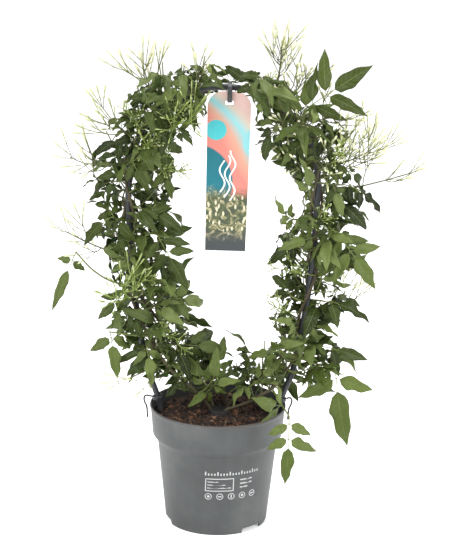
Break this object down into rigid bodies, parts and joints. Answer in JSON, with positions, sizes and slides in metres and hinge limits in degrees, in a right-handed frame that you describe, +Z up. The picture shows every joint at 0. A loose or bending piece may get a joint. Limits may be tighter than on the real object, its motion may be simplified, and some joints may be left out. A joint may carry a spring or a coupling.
{
  "type": "potted jasmine",
  "caption": "Twining jasmine in a round plastic nursery pot, its stems trained round an upright hoop into an open wreath of leaves and bud sprays, with a label hanging in it.",
  "frame": {"origin": "on the ground under the middle of the whole plant's box; the pot's axis stands 14 mm to its left and 9 mm behind it", "axes": "+Z up, -Y towards the wreath's front, where the label faces, +X to the right seen from the front"},
  "size_m": [0.376, 0.1547, 0.5168],
  "materials": {
    "pot_plastic": "smooth grey moulded plastic, satin",
    "peat_soil": "rough dark peat with bark",
    "hoop_plastic": "dark plastic, satin",
    "label_card": "printed plastic card, coloured waves",
    "vine_bark": "thin brown-green bark",
    "leaf_green": "soft satin leaf",
    "bud_cream": "soft matt petals"
  },
  "bodies": {
    "root": {"pot": "pot_plastic", "soil": "peat_soil", "hoop": "hoop_plastic", "rim_clip_left": "hoop_plastic", "rim_clip_right": "hoop_plastic", "label": "label_card", "label_strap": "hoop_plastic", "vine_left_front": "vine_bark", "vine_left_back": "vine_bark", "vine_right_front": "vine_bark", "vine_right_back": "vine_bark", "spray_left_crest": "bud_cream", "spray_left_shoulder": "bud_cream", "spray_left_high": "bud_cream", "spray_crest": "bud_cream", "spray_right_crest": "bud_cream", "spray_right_high": "bud_cream", "spray_right_far": "bud_cream", "spray_left_far": "bud_cream", "spray_left_front": "bud_cream", "spray_left_inner_top": "bud_cream", "spray_right_low": "bud_cream", "spray_left_low": "bud_cream", "shoot_right_crest": "leaf_green", "shoot_right_inner_top": "leaf_green", "shoot_right_shoulder": "leaf_green", "shoot_right_spray": "leaf_green", "shoot_right_star": "leaf_green", "shoot_right_front": "leaf_green", "shoot_right_inner": "leaf_green", "shoot_right_tiny": "leaf_green", "shoot_right_mid": "leaf_green", "shoot_right_inner_low": "leaf_green", "shoot_right_low": "leaf_green", "shoot_right_lower": "leaf_green", "shoot_right_arching": "leaf_green", "shoot_over_rim": "leaf_green", "shoot_right_back_high": "leaf_green", "shoot_right_back_low": "leaf_green", "shoot_left_crest": "leaf_green", "shoot_left_shoulder": "leaf_green", "shoot_left_front_high": "leaf_green", "shoot_left_high": "leaf_green", "shoot_left_hanging": "leaf_green", "shoot_left_outer": "leaf_green", "shoot_left_inner": "leaf_green", "shoot_left_drooping": "leaf_green", "shoot_left_far": "leaf_green", "shoot_left_mid": "leaf_green", "shoot_left_reaching": "leaf_green", "shoot_left_arching": "leaf_green", "shoot_left_front_low": "leaf_green", "shoot_left_low_inner": "leaf_green", "shoot_left_back_high": "leaf_green", "shoot_left_back_low": "leaf_green", "shoot_crown_left": "leaf_green", "shoot_crown_middle": "leaf_green", "shoot_crown_right": "leaf_green", "shoot_crest_left": "leaf_green", "shoot_crest_right": "leaf_green"}
  },
  "joints": []
}
